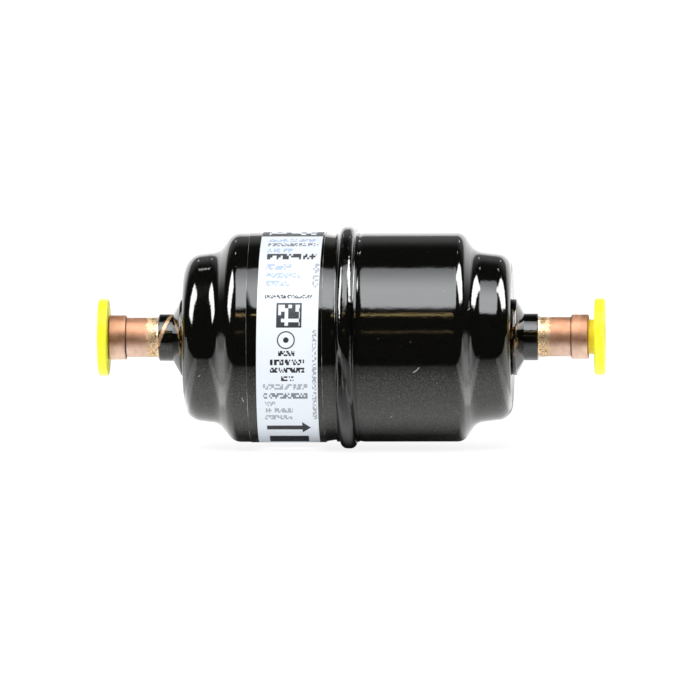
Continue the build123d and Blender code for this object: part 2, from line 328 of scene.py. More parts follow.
@dataclass(frozen=True)
class Enamel:
    """Glossy black stoving enamel with an orange peel, fine grain, dust, a few scratches and a grainy painted
    floor reflection below the front.
    """

    name: str = Slot.ENAMEL.value
    black: Colour = (0.0022, 0.0022, 0.0016, 1)
    dust_and_highlight: Colour = (0.34, 0.34, 0.32, 1)
    pale: Colour = (0.55, 0.55, 0.53, 1)
    # painted floor reflection: grainy grey cells on the lower side only
    painted_floor_sheen: Colour = (0.062, 0.060, 0.052, 1)
    sheen_cell: float = 0.17
    sheen_power: float = 3.0  # the higher, the fewer of its cells are bright
    sheen_below: Step = Step(-0.17, -0.34, 0.05, 1.0)  # painted floor reflection, by radians above the front
    dust_and_highlight_breaks: Specks = Specks(2.3, 0.085, 0.20)
    grit: Specks = Specks(0.9, 0.05, 0.10)
    cloud: Cloud = Cloud(5, 3.0)
    roughness: tuple[float, float] = (0.06, 0.09)  # least and greatest
    index: float = 1.55
    peel: Cloud = Cloud(2.4, 1.0)
    peel_depth: float = 0.015
    grain: Cloud = Cloud(0.32)
    grain_depth: float = 0.008
    body_radius: float = BODY_RADIUS
    scratches: tuple[Scratch, ...] = (
        Scratch(15.1, -5.6, 42, 1.7, 0.13),
        Scratch(26.0, 8.2, 60, 0.9, 0.09),
        Scratch(-21.4, -12.5, -70, 1.1, 0.10),
        Scratch(9.5, -17.5, 30, 0.5, 0.10),
        Scratch(-30.6, -9.0, 50, 0.6, 0.09),
    )

    def relief(self, graph: Graph) -> bpy.types.NodeSocket:
        """Normal of the enamel's peel and grain."""
        normal = graph.bump(graph.noise(self.peel), self.peel_depth)
        return graph.bump(graph.noise(self.grain), self.grain_depth, normal)

    def colour(self, graph: Graph) -> bpy.types.NodeSocket:
        """Colours the enamel.

        Args:
            graph: The material's graph.

        Returns:
            Black with a grainy painted floor reflection below, dust, grit and scratches.
        """
        along, turn, _ = graph.around()
        up = graph.math("MULTIPLY", turn, self.body_radius)
        # painted floor reflection: grainy grey cells, only below the front
        fine = graph.axes(graph.cells(self.sheen_cell).outputs["Color"])[1]
        fine = graph.math("POWER", fine, self.sheen_power)
        painted_sheen = graph.math("MULTIPLY", fine, graph.ramp(turn, self.sheen_below))
        colour = graph.mix(painted_sheen, self.black, self.painted_floor_sheen)
        colour = graph.mix(graph.join([graph.specks(self.dust_and_highlight_breaks), graph.specks(self.grit)]), colour, self.dust_and_highlight)
        marks = graph.join([scratch.mask(graph, along, up) for scratch in self.scratches])
        return graph.mix(marks, colour, self.pale)

    def make(self) -> bpy.types.Material:
        """Builds the material.

        Returns:
            The material.
        """
        material, graph = new_material(self.name)
        graph.finish({
            "Base Color": self.colour(graph),
            "Roughness": graph.ramp(graph.noise(self.cloud), Step(*MIDDLE, *self.roughness)),
            "Normal": self.relief(graph),
            "IOR": self.index,
        })
        return material


@dataclass(frozen=True)
class BushingEnamel(Enamel):
    """Enamel of a bushing, with flux stains on its hub, and on the inlet's collar a bare helical streak."""

    name: str = "outlet_bushing_enamel"
    streaked: bool = False
    bare: Colour = (0.48, 0.29, 0.17, 1)
    bare_roughness: float = 0.42
    bare_metal: float = 0.7
    stain: Colour = (0.17, 0.095, 0.03, 1)
    stains: Cloud = Cloud(0.5, 3.0, (1, 4, 4))
    stained: Step = Step(0.50, 0.62)
    stain_reach: tuple[float, float, float] = (-0.6, 0.8, 0.4)  # radians above the front, and soft edge
    stain_bare: float = 0.2  # how bare the stains are, where there is no streak
    hub_face: Step = Step(6.4, 7.2)  # radius from which the hub is stained
    streak_start: float = -39.5  # where the streak crosses the front, mm
    streak_lead: float = 1.85  # mm along the axis for each radian up
    streak_half: float = 0.40
    streak_edge: float = 0.2
    streak_reach: tuple[float, float, float] = (-0.35, 1.5, 0.3)  # radians above the front, and soft edge
    wander: Cloud = Cloud(0.5)
    wander_width: float = 0.5  # how far the streak wanders, mm
    collar_end: Step = Step(-36.9, -37.1)  # where the streak ends on the axis, mm
    collar_face: Step = Step(4.0, 4.4)  # radius from which the collar is bare

    def streak(self, graph: Graph) -> bpy.types.NodeSocket:
        """Tells where the bare streak is.

        Args:
            graph: The material's graph.

        Returns:
            1 on the streak and 0 elsewhere.
        """
        along, turn, radius = graph.around()
        line = graph.math("MULTIPLY_ADD", turn, self.streak_lead, self.streak_start)
        wander = graph.math("SUBTRACT", graph.noise(self.wander), 0.5)
        off = graph.math("MULTIPLY_ADD", wander, self.wander_width, graph.math("SUBTRACT", along, line))
        streak = graph.within(off, -self.streak_half, self.streak_half, self.streak_edge)
        streak = graph.math("MULTIPLY", streak, graph.within(turn, *self.streak_reach))
        streak = graph.math("MULTIPLY", streak, graph.ramp(along, self.collar_end))
        return graph.math("MULTIPLY", streak, graph.ramp(radius, self.collar_face))

    def make(self) -> bpy.types.Material:
        """Builds the material.

        Returns:
            The material.
        """
        material, graph = new_material(self.name)
        _, turn, radius = graph.around()
        stains = graph.ramp(graph.noise(self.stains), self.stained)
        stains = graph.math("MULTIPLY", stains, graph.ramp(radius, self.hub_face))
        stains = graph.math("MULTIPLY", stains, graph.within(turn, *self.stain_reach))
        colour = graph.mix(stains, self.colour(graph), self.stain)
        bare = self.streak(graph) if self.streaked else graph.math("MULTIPLY", stains, self.stain_bare)
        graph.finish({
            "Base Color": graph.mix(bare, colour, self.bare),
            "Roughness": graph.ramp(bare, Step(0.0, 1.0, self.roughness[0], self.bare_roughness)),
            "Metallic": graph.math("MULTIPLY", bare, self.bare_metal),
            "Normal": self.relief(graph),
            "IOR": self.index,
        })
        return material


@dataclass(frozen=True)
class Copper:
    """Satin drawn copper: turned rings, tarnish clouds, heat tint beside the braze, painted shade on the top
    and in the mouth's corner, a painted floor reflection below.
    """

    fresh: Colour = (0.40, 0.215, 0.135, 1)
    tarnish_and_top_shade: Colour = (0.25, 0.12, 0.065, 1)
    pale: Colour = (0.48, 0.34, 0.27, 1)
    gold: Colour = (0.58, 0.42, 0.25, 1)
    painted_reflection: Colour = (0.56, 0.42, 0.34, 1)
    soot: Colour = (0.035, 0.02, 0.012, 1)
    rings: Cloud = Cloud(0.12, 2.0, (1, 60, 60))
    ring_depth: float = 0.0015
    cloud: Cloud = Cloud(1.9, 3.0)
    cloud_depth: float = 0.012
    tarnished: Step = Step(0.35, 0.75, 0.0, 0.55)
    blotch: Cloud = Cloud(0.8, 2.0, (1.0, 2.2, 2.2))
    blotched: Step = Step(0.50, 0.85, 0.0, 0.6)
    above: Step = Step(0.25, 0.75, 0.0, 0.45)  # painted shade on the top, by radians above the front
    reflection_below: Step = Step(-0.05, -0.55, 0.0, 0.75)  # painted floor reflection on the lower side, likewise
    roughness: tuple[float, float] = (0.52, 0.64)
    mouth_corner: tuple[float, float, float] = (46.64, 46.84, 0.12)  # painted shade in the mouth's corner: from and to, mm, and soft edge
    mouth_shade: float = 0.85
    heated: Step = Step(42.55, 41.95)  # where the heat tint ends, mm
    heat_edge: Cloud = Cloud(0.7, 3.0)
    heat_wander: float = 2.2  # how far that end wanders, mm
    spots: Cloud = Cloud(0.26)
    spotted: Step = Step(0.57, 0.62)
    sooted: Step = Step(42.7, 41.1)  # where the spots end, mm

    def make(self) -> bpy.types.Material:
        """Builds the material.

        Returns:
            The material.
        """
        material, graph = new_material(Slot.COPPER.value)
        along, turn, _ = graph.around()
        side = graph.math("ABSOLUTE", along)
        cloud = graph.noise(self.cloud)
        blotch = graph.noise(self.blotch)
        colour = graph.mix(graph.ramp(cloud, self.tarnished), self.fresh, self.tarnish_and_top_shade)
        colour = graph.mix(graph.ramp(blotch, self.blotched), colour, self.pale)
        # painted shade on the top, then a painted floor reflection on the lower side
        colour = graph.mix(graph.ramp(turn, self.above), colour, self.tarnish_and_top_shade)
        colour = graph.mix(graph.ramp(turn, self.reflection_below), colour, self.painted_reflection)
        wander = graph.math("SUBTRACT", graph.noise(self.heat_edge), 0.5)
        edge = graph.math("MULTIPLY_ADD", wander, self.heat_wander, side)
        colour = graph.mix(graph.ramp(edge, self.heated), colour, self.gold)
        spots = graph.ramp(graph.noise(self.spots), self.spotted)
        colour = graph.mix(graph.math("MULTIPLY", spots, graph.ramp(side, self.sooted)), colour, self.soot)
        # painted shade: a dark ring in the mouth's corner
        corner = graph.within(side, *self.mouth_corner)
        normal = graph.bump(graph.noise(self.rings), self.ring_depth)
        graph.finish({
            "Base Color": graph.mix(graph.math("MULTIPLY", corner, self.mouth_shade), colour, self.soot),
            "Metallic": 1.0,
            "Roughness": graph.ramp(blotch, Step(*MIDDLE, *self.roughness)),
            "Normal": graph.bump(cloud, self.cloud_depth, normal),
        })
        return material


@dataclass(frozen=True)
class BrazeAlloy:
    """Pale gold brazing alloy, lumpy, with flux and soot specks."""

    gold: Colour = (0.60, 0.40, 0.21, 1)
    cream: Colour = (0.66, 0.50, 0.34, 1)
    soot: Colour = (0.11, 0.07, 0.04, 1)
    lumps: Cloud = Cloud(0.6, 3.0)
    lump_depth: float = 0.08
    fluxed: Step = Step(0.4, 0.65)
    spots: Cloud = Cloud(0.26)
    spotted: Step = Step(0.55, 0.60)
    roughness: tuple[float, float] = (0.34, 0.5)
    metal: float = 0.7

    def make(self) -> bpy.types.Material:
        """Builds the material.

        Returns:
            The material.
        """
        material, graph = new_material(Slot.BRAZE.value)
        lumps = graph.noise(self.lumps)
        colour = graph.mix(graph.ramp(lumps, self.fluxed), self.gold, self.cream)
        graph.finish({
            "Base Color": graph.mix(graph.ramp(graph.noise(self.spots), self.spotted), colour, self.soot),
            "Metallic": self.metal,
            "Roughness": graph.ramp(lumps, Step(*MIDDLE, *self.roughness)),
            "Normal": graph.bump(lumps, self.lump_depth),
        })
        return material


@dataclass(frozen=True)
class CapPlastic:
    """Bright yellow soft plastic, with painted shade in a deeper yellow on the plug's neck, a moulding grain
    and light scuffs.
    """

    yellow: Colour = (0.97, 0.98, 0.022, 1)
    # painted shade: a deeper yellow for the plug's neck
    deep: Colour = (0.95, 0.73, 0.016, 1)
    scuffed: Colour = (0.95, 0.95, 0.22, 1)
    scuffs: Cloud = Cloud(0.5, 3.0, (1, 3, 1))
    scuffing: Step = Step(0.56, 0.75)
    neck_shade: Step = Step(4.3, 3.9)  # painted shade on the plug's neck, by radius in mm
    roughness: Step = Step(0.4, 0.7, 0.42, 0.55)
    grain: Cloud = Cloud(0.12)
    grain_depth: float = 0.004
    glow: float = 0.15  # share of the light that the plastic scatters inside
    glow_colours: tuple[float, float, float] = (1.0, 0.9, 0.1)
    glow_reach: float = 0.8

    def make(self) -> bpy.types.Material:
        """Builds the material.

        Returns:
            The material.
        """
        material, graph = new_material(Slot.CAP.value)
        _, _, radius = graph.around()
        scuffs = graph.noise(self.scuffs)
        colour = graph.mix(graph.ramp(scuffs, self.scuffing), self.yellow, self.scuffed)
        graph.finish({
            # painted shade on the plug's neck
            "Base Color": graph.mix(graph.ramp(radius, self.neck_shade), colour, self.deep),
            "Roughness": graph.ramp(scuffs, self.roughness),
            "Normal": graph.bump(graph.noise(self.grain), self.grain_depth),
            "Subsurface Weight": self.glow,
            "Subsurface Radius": self.glow_colours,
            "Subsurface Scale": self.glow_reach * MM,
        })
        return material


@dataclass(frozen=True)
class Block:
    """Printed rectangle on the label, solid or broken into ticks.

    Along is measured from the girth on the axis and up round the body from the label's front, in mm.
    """

    along: tuple[float, float]
    up: tuple[float, float]
    ink: Colour
    tick: tuple[float, float] = (0, 0)  # size of one tick, along and up
    full: float = 0.62  # share of the ticks that are inked

    def mask(self, graph: Graph, along: Value, up: Value) -> bpy.types.NodeSocket:
        """Tells where the block is inked.

        Args:
            graph: The material's graph.
            along: Millimetres along the label.
            up: Millimetres up the label.

        Returns:
            1 where it is inked and 0 elsewhere.
        """
        inside = graph.math(
            "MULTIPLY",
            graph.math("COMPARE", along, sum(self.along) / 2, abs(self.along[1] - self.along[0]) / 2),
            graph.math("COMPARE", up, sum(self.up) / 2, abs(self.up[1] - self.up[0]) / 2),
        )
        if not self.tick[0]:
            return inside
        column = graph.math("FLOOR", graph.math("DIVIDE", along, self.tick[0]))
        row = graph.math("DIVIDE", graph.math("SUBTRACT", up, min(self.up)), self.tick[1])
        inked = graph.math("LESS_THAN", graph.chance(column, graph.math("FLOOR", row), self.up[0]), self.full)
        return graph.math("MULTIPLY", inside, inked)


NAVY: Colour = (0.012, 0.013, 0.018, 1)
SLATE: Colour = (0.20, 0.22, 0.27, 1)
GREY: Colour = (0.40, 0.43, 0.48, 1)
SKY: Colour = (0.48, 0.59, 0.80, 1)
PAPER: Colour = (0.84, 0.89, 0.95, 1)


TICKS_PER_HEIGHT = (4.2, 3)  # ticks to a line's height, along it and up it
INKED = 0.6  # share of the ticks that are inked in a line of print


def greeked(along: tuple[float, float], up: float, high: float, ink: Colour) -> Block:
    """A line of ticks that stands for a line of print."""
    across, rows = TICKS_PER_HEIGHT
    return Block(along, (up - high / 2, up + high / 2), ink, tick=(high / across, high / rows), full=INKED)


@dataclass(frozen=True)
class PrintedFilm:
    """White label under a clear film. The print is plain ticks, bars, a ring and a flow arrow."""

    paper: Colour = PAPER
    left: float = -18.6
    right: float = -5.75
    paper_edge: float = 0.06
    film_left: float = -20.5
    film_right: float = -4.6
    # Painted highlights along the film's edges: from and to on the axis, and soft edge.
    film_edge_glints: tuple[tuple[float, float, float], ...] = ((-20.6, -20.4, 0.06), (-4.68, -4.5, 0.06))
    skew: float = 0.32  # mm along the axis for each radian up
    offset: float = 0.28  # how far the label was stuck towards the outlet, mm
    radius: float = BODY_RADIUS + 0.1
    roughness: float = 0.48
    index: float = 1.5
    fibres: Cloud = Cloud(0.24)
    fibre_depth: float = 0.0012
    waves: Cloud = Cloud(3.2, 1.0)
    wave_depth: float = 0.010
    wear: Cloud = Cloud(0.35)
    worn: Step = Step(0.35, 0.7, 0.0, 0.03)
    dust_and_highlight_breaks: Cloud = Cloud(1.6, 3.0, (1, 3, 3))
    dust_and_highlight: Step = Step(0.45, 0.65, 0.15, 1.0)  # how strong the painted highlight along the film's edges is
    blocks: tuple[Block, ...] = (
        Block((-18.6, -5.75), (29.6, 60), NAVY),
        greeked((-17.1, -7.2), 33.0, 4.4, PAPER),
        greeked((-16.9, -7.2), 27.2, 1.5, SKY),
        greeked((-17.0, -6.3), 25.1, 1.3, SLATE),
        greeked((-17.1, -11.8), 22.8, 1.4, SKY),
        greeked((-17.0, -6.7), 20.7, 1.8, NAVY),
        greeked((-17.0, -11.8), 17.6, 1.6, SKY),
        greeked((-17.1, -9.8), 15.3, 1.4, SKY),
        greeked((-16.9, -12.0), 13.3, 1.4, SKY),
        greeked((-17.0, -7.1), 10.2, 0.8, NAVY),
        Block((-14.5, -9.2), (3.5, 8.8), NAVY),
        Block((-14.1, -9.6), (3.9, 8.4), PAPER, (0.75, 0.75), 0.5),
        greeked((-14.0, -10.6), -1.9, 1.1, NAVY),
        greeked((-15.7, -8.5), -3.8, 1.2, NAVY),
        greeked((-15.7, -8.5), -5.5, 1.1, NAVY),
        greeked((-13.4, -10.8), -7.4, 1.1, NAVY),
        greeked((-17.2, -7.9), -9.3, 1.3, GREY),
        greeked((-17.2, -7.9), -11.5, 1.4, SLATE),
        greeked((-17.0, -14.7), -13.6, 1.2, GREY),
        greeked((-16.7, -11.0), -15.4, 1.3, GREY),
        greeked((-16.9, -11.2), -17.5, 1.4, GREY),
        Block((-7.2, -5.9), (12.3, 18.5), GREY, (0.45, 0.5), 0.6),
        Block((-6.9, -6.0), (-18.1, 3.0), GREY, (0.32, 0.36), 0.55),
        Block((-16.6, -9.2), (-22.0, -20.4), NAVY),
        Block((-16.2, -8.0), (-30.0, -25.2), NAVY),
    )
    ring: tuple[float, float, float, float] = (-12.4, 0.9, 1.75, 0.13)  # middle, radius, half width
    arrow: tuple[float, float, float, float] = (-9.2, -7.4, -21.2, 2.1)  # head: foot, tip, middle, half width

    def ink(self, graph: Graph, along: Value, up: Value) -> bpy.types.NodeSocket:
        """Prints the label.

        Args:
            graph: The material's graph.
            along: Millimetres along the label.
            up: Millimetres up the label.

        Returns:
            Colour of the printed paper.
        """
        colour = self.paper
        for block in self.blocks:
            colour = graph.mix(block.mask(graph, along, up), colour, block.ink)
        x, y, radius, half = self.ring
        far = graph.vector_math("DISTANCE", graph.vector(along, up, 0.0), (x, y, 0.0)).outputs["Value"]
        colour = graph.mix(graph.math("COMPARE", far, radius, half), colour, NAVY)
        colour = graph.mix(graph.math("LESS_THAN", far, radius / 3), colour, NAVY)
        foot, tip, middle, half = self.arrow
        off = graph.math("ABSOLUTE", graph.math("SUBTRACT", up, middle))
        reach = graph.math("SUBTRACT", tip, graph.math("MULTIPLY", off, (tip - foot) / half))
        past_foot = graph.math("GREATER_THAN", along, foot)
        head = graph.math("MULTIPLY", past_foot, graph.math("LESS_THAN", along, reach))
        return graph.mix(head, colour, NAVY)

    def edges(self, graph: Graph, along: Value) -> bpy.types.NodeSocket:
        """Tells where the painted highlight lies along the clear film's edges.

        Args:
            graph: The material's graph.
            along: Millimetres along the axis.

        Returns:
            1 where the painted highlight is brightest and 0 off the edges.
        """
        lines = [graph.within(along, *limits) for limits in self.film_edge_glints]
        return graph.math("MULTIPLY", graph.join(lines), graph.ramp(graph.noise(self.dust_and_highlight_breaks), self.dust_and_highlight))

    def make(self, enamel: Enamel) -> bpy.types.Material:
        """Builds the material.

        Args:
            enamel: What shows through the film's clear margins.

        Returns:
            The material.
        """
        material, graph = new_material(Slot.LABEL.value)
        along, turn, _ = graph.around()
        up = graph.math("MULTIPLY", turn, self.radius)
        level = graph.math("SUBTRACT", graph.math("MULTIPLY_ADD", turn, -self.skew, along), self.offset)
        paper = graph.within(level, self.left, self.right, self.paper_edge)
        worn = graph.ramp(graph.noise(self.wear), self.worn)
        printed = graph.mix(worn, self.ink(graph, level, up), self.paper)
        # painted highlight along the film's edges, in the enamel's dust colour
        margin = graph.mix(self.edges(graph, along), enamel.colour(graph), enamel.dust_and_highlight)
        waves = graph.bump(graph.noise(self.waves), self.wave_depth)
        graph.finish({
            "Base Color": graph.mix(paper, margin, printed),
            "Roughness": graph.ramp(paper, Step(0.0, 1.0, enamel.roughness[0], self.roughness)),
            "Normal": graph.bump(graph.noise(self.fibres), self.fibre_depth, waves),
            "IOR": self.index,
        })
        return material


@dataclass(frozen=True)
class Metal:
    """Bright worked steel with lines along the direction it was drawn or rolled, and light stains."""

    name: Slot
    bright: Colour
    stain: Colour
    roughness: tuple[float, float]
    lines: Cloud
    line_depth: float = 0.003
    stains: Cloud = Cloud(2.2, 3.0)
    stained: Step = Step(0.4, 0.7)

    def make(self) -> bpy.types.Material:
        """Builds the material.

        Returns:
            The material.
        """
        material, graph = new_material(self.name.value)
        lines = graph.noise(self.lines)
        stains = graph.ramp(graph.noise(self.stains), self.stained)
        graph.finish({
            "Base Color": graph.mix(stains, self.bright, self.stain),
            "Metallic": 1.0,
            "Roughness": graph.ramp(lines, Step(*MIDDLE, *self.roughness)),
            "Normal": graph.bump(lines, self.line_depth),
        })
        return material


@dataclass(frozen=True)
class Desiccant:
    """Moulded block of small bound beads with a few darker ones, and painted shade between the beads."""

    pale: Colour = (0.66, 0.58, 0.46, 1)
    dark: Colour = (0.34, 0.27, 0.19, 1)
    bead: float = 0.7
    bead_height: float = 0.25
    darker: Step = Step(0.55, 1.0)
    dome: Step = Step(0.75, 0.0)  # a bead's height, by the distance from its middle
    crevice_shade: Step = Step(0.35, 0.0)  # painted shade in the crevices between beads, by a bead's height
    roughness: float = 0.85

    def make(self) -> bpy.types.Material:
        """Builds the material.

        Returns:
            The material.
        """
        material, graph = new_material(Slot.DESICCANT.value)
        beads = graph.cells(self.bead)
        kind = graph.axes(beads.outputs["Color"])[0]
        colour = graph.mix(graph.ramp(kind, self.darker), self.pale, self.dark)
        dome = graph.ramp(beads.outputs["Distance"], self.dome)
        graph.finish({
            # painted shade in the crevices between beads
            "Base Color": graph.mix(graph.ramp(dome, self.crevice_shade), colour, self.dark),
            "Roughness": self.roughness,
            "Normal": graph.bump(dome, self.bead_height),
        })
        return material


@dataclass(frozen=True)
class Felt:
    """White polyester felt of crossed fibres."""

    white: Colour = (0.84, 0.84, 0.80, 1)
    shade: Colour = (0.62, 0.62, 0.57, 1)
    across: Cloud = Cloud(0.12, 2.0, (1, 9, 1))
    upright: Cloud = Cloud(0.12, 2.0, (1, 1, 9))
    shaded: Step = Step(0.56, 0.40)
    fibre_depth: float = 0.12
    roughness: float = 0.95
    sheen: float = 0.3

    def make(self) -> bpy.types.Material:
        """Builds the material.

        Returns:
            The material.
        """
        material, graph = new_material(Slot.FELT.value)
        fibres = graph.math("ADD", graph.noise(self.across), graph.noise(self.upright))
        fibres = graph.math("MULTIPLY", fibres, 0.5)
        graph.finish({
            "Base Color": graph.mix(graph.ramp(fibres, self.shaded), self.white, self.shade),
            "Roughness": self.roughness,
            "Normal": graph.bump(fibres, self.fibre_depth),
            "Sheen Weight": self.sheen,
        })
        return material


def dress(name: str, material: bpy.types.Material) -> None:
    """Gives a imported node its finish.

    Args:
        name: The node.
        material: Its finish.
    """
    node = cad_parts[name]
    node.data.materials.clear()
    node.data.materials.append(material)
    log.info("dressed %s in %s", name, material.name)


def smooth(share: float) -> float:
    """Smooth step from 0 to 1."""
    share = min(1.0, max(0.0, share))
    return share * share * (3 - 2 * share)


def pick(chosen: Callable[[Vector], bool]) -> None:
    """Selects vertices of the mesh in edit mode, and nothing else.

    Args:
        chosen: Tells from a vertex's place whether it is selected.
    """
    piece = bpy.context.edit_object
    mesh = bmesh.from_edit_mesh(piece.data)
    for vertex in mesh.verts:
        vertex.select = chosen(piece.matrix_world @ vertex.co)
    mesh.select_flush_mode()
    bmesh.update_edit_mesh(piece.data)


@dataclass
class Outline:
    """Closed outline in the plane through the flow axis, spun round it into a piece."""

    name: str
    corners: tuple[Corner, ...]  # millimetres along the axis, radius and corner round
    longest: float  # longest edge that the outline keeps
    near: float = 1e-7  # how far apart two ends still meet, in metres
    facets: int = 6  # edges that a rounded corner gets
    doubled: float = 0.002  # how near each other vertices are merged after the spin
    crease: float = 40  # degrees from which an edge looks sharp

    def draw(self) -> None:
        """Extrudes one vertex from corner to corner above the axis, closes the loop and rounds it."""
        places = [Vector((x, 0, radius)) * MM for x, radius, _ in self.corners]
        bpy.ops.object.select_all(action="DESELECT")
        bpy.ops.mesh.primitive_plane_add(size=MM, location=places[0])
        bpy.context.object.name = self.name
        bpy.ops.object.mode_set(mode="EDIT")
        bpy.ops.mesh.select_mode(type="VERT")
        bpy.ops.mesh.merge(type="CENTER")
        for start, end in zip(places, places[1:]):
            bpy.ops.mesh.extrude_region_move(TRANSFORM_OT_translate={"value": end - start})
        pick(lambda place: min((place - places[0]).length, (place - places[-1]).length) < self.near)
        bpy.ops.mesh.edge_face_add()
        for place, (_, _, round_) in zip(places, self.corners):
            if round_:
                pick(lambda other, place=place: (other - place).length < self.near)
                offset = round_ * MM
                bpy.ops.mesh.bevel(offset=offset, segments=self.facets, affect="VERTICES")
        self.refine()

    def refine(self) -> None:
        """Cuts the outline's long edges."""
        piece = bpy.context.edit_object
        while True:
            mesh = bmesh.from_edit_mesh(piece.data)
            for part in [*mesh.verts, *mesh.edges]:
                part.select = False
            long = [edge for edge in mesh.edges if edge.calc_length() > self.longest * MM]
            for edge in long:
                edge.select_set(True)
            bmesh.update_edit_mesh(piece.data)
            if not long:
                return
            bpy.ops.mesh.subdivide(number_cuts=1)

    def spin(self, start: float, arc: float, steps: int) -> bpy.types.Object:
        """Spins the outline round the flow axis.

        Args:
            start: Degrees back from the top where the piece starts.
            arc: Degrees that it covers, towards the label's front and on below.
            steps: Number of steps.

        Returns:
            The finished piece, at the origin.
        """
        self.draw()
        bpy.ops.mesh.select_all(action="SELECT")
        bpy.ops.mesh.spin(steps=steps, angle=-math.radians(arc), center=(0, 0, 0), axis=(1, 0, 0))
        bpy.ops.mesh.select_all(action="SELECT")
        bpy.ops.mesh.remove_doubles(threshold=self.doubled * MM)
        if arc < 360:
            bpy.ops.mesh.select_all(action="SELECT")
            bpy.ops.mesh.fill_holes(sides=0)
        bpy.ops.mesh.select_all(action="SELECT")
        bpy.ops.mesh.normals_make_consistent(inside=False)
        bpy.ops.object.mode_set(mode="OBJECT")
        piece = bpy.context.object
        bpy.ops.object.transform_apply(location=True, rotation=True, scale=True)
        piece.rotation_euler.x = -math.radians(start)
        bpy.ops.object.transform_apply(location=True, rotation=True, scale=True)
        bpy.ops.object.shade_smooth_by_angle(angle=math.radians(self.crease))
        return piece


@dataclass
class Shell:
    """The two enamelled cups and the bushings on their ends."""

    enamel: Enamel
    inlet_end: BushingEnamel
    outlet_end: BushingEnamel

    def dress(self) -> None:
        """Gives the steel pieces their enamel."""
        enamel = self.enamel.make()
        dress("shell_inlet_half", enamel)
        dress("shell_outlet_half", enamel)
        dress("inlet_fitting", self.inlet_end.make())
        dress("outlet_fitting", self.outlet_end.make())


@dataclass
class WeldBead:
    """Enamelled bead over the girth, with a crater and a lap where the weld ended."""

    enamel: Enamel
    body_radius: float = BODY_RADIUS
    height: float = 1.4
    top: float = 2.9
    flank: float = 3.5
    toe: float = 4.8
    root_depth: float = 0.5
    crown_round: float = 1.1
    inlet_round: float = 0.35
    outlet_round: float = 0.3
    longest: float = 0.24
    steps: int = 560
    lap_middle: float = 28.0  # degrees below the front where the lap rises, at the girth
    lap_lead: float = 5.0  # degrees for each millimetre towards the outlet
    lap_half: float = 9.5
    crater_depth: float = 1.0
    lap_height: float = 0.75
    lap_tail: float = 40.0  # degrees over which the lap runs out
    crater_tail: float = 16.0
    wave_depth: float = 0.10
    wave_size: float = 2.6

    def outline(self) -> Outline:
        """Draws the bead's section.

        Returns:
            A half-round crown with hollow toes.
        """
        crown = self.body_radius + self.height
        root = self.body_radius - self.root_depth
        surface = self.body_radius
        corners = (
            (-self.toe / 2, root, 0),
            (-self.toe / 2, surface, 0),
            (-self.flank / 2, surface, self.inlet_round),
            (-self.top / 2, crown, self.crown_round),
            (self.top / 2, crown, self.crown_round),
            (self.flank / 2, surface, self.outlet_round),
            (self.toe / 2, surface, 0),
            (self.toe / 2, root, 0),
        )
        return Outline("weld_bead", corners, self.longest)

    def relief(self, place: Vector) -> tuple[float, float]:
        """Share of the crater's depth and of the lap's height at a place on the bead.

        Args:
            place: A vertex of the bead.

        Returns:
            The two shares, from 0 to 1.
        """
        turn = math.degrees(math.atan2(place.z, -place.y))
        down = -turn - self.lap_middle - self.lap_lead * place.x / MM
        climbed = min(1.0, max(0.0, (down + self.lap_half) / (2 * self.lap_half)))
        rise = (2 * climbed + smooth(climbed)) / 3  # a straight slope with soft ends
        into = smooth((down + self.lap_half + self.crater_tail) / self.crater_tail)
        out = smooth((self.lap_half + self.lap_tail - down) / self.lap_tail)
        high = min(1.0, max(0.0, self.above(place) / self.height))
        return high * into * (1 - rise), high * rise * out

    def above(self, place: Vector) -> float:
        """Millimetres from the body's surface out to a place."""
        return math.hypot(place.y, place.z) / MM - self.body_radius

    def build(self) -> bpy.types.Object:
        """Spins the bead, gives it its crater, its lap and its waves, and dresses it.

        Returns:
            The bead.
        """
        bead = self.outline().spin(0, 360, self.steps)
        shares = [self.relief(vertex.co) for vertex in bead.data.vertices]
        depths = (("crater", -self.crater_depth), ("lap", self.lap_height))
        for number, (name, depth) in enumerate(depths):
            group = bead.vertex_groups.new(name=name)
            for vertex, share in enumerate(shares):
                if share[number] > 0:
                    group.add([vertex], share[number], "REPLACE")
            self.displace(bead, name, depth, None)
        waves = bpy.data.textures.new("weld_waves", "CLOUDS")
        waves.noise_scale = self.wave_size * MM
        group = bead.vertex_groups.new(name="crown")
        for vertex in bead.data.vertices:
            group.add([vertex.index], smooth(self.above(vertex.co) / (self.height / 2)), "REPLACE")
        self.displace(bead, "crown", self.wave_depth, waves)
        bead.data.materials.append(self.enamel.make())
        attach(bead, "drier")
        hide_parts("girth_weld")
        log.info("built %s with %d faces", bead.name, len(bead.data.polygons))
        return bead

    def displace(
        self, bead: bpy.types.Object, group: str, depth: float, texture: bpy.types.Texture | None
    ) -> None:
        """Raises the bead in a vertex group, and applies that.

        Args:
            bead: The bead.
            group: Name of the vertex group.
            depth: How far, in millimetres, outwards.
            texture: Pattern of the height about the mean, or None for the whole depth.
        """
        modifier = bead.modifiers.new(group, "DISPLACE")
        modifier.vertex_group = group
        modifier.strength = depth * MM
        modifier.mid_level = 0.0
        if texture is not None:
            modifier.texture = texture
            modifier.texture_coords = "LOCAL"
            modifier.mid_level = 0.5
        bpy.ops.object.modifier_apply(modifier=modifier.name)


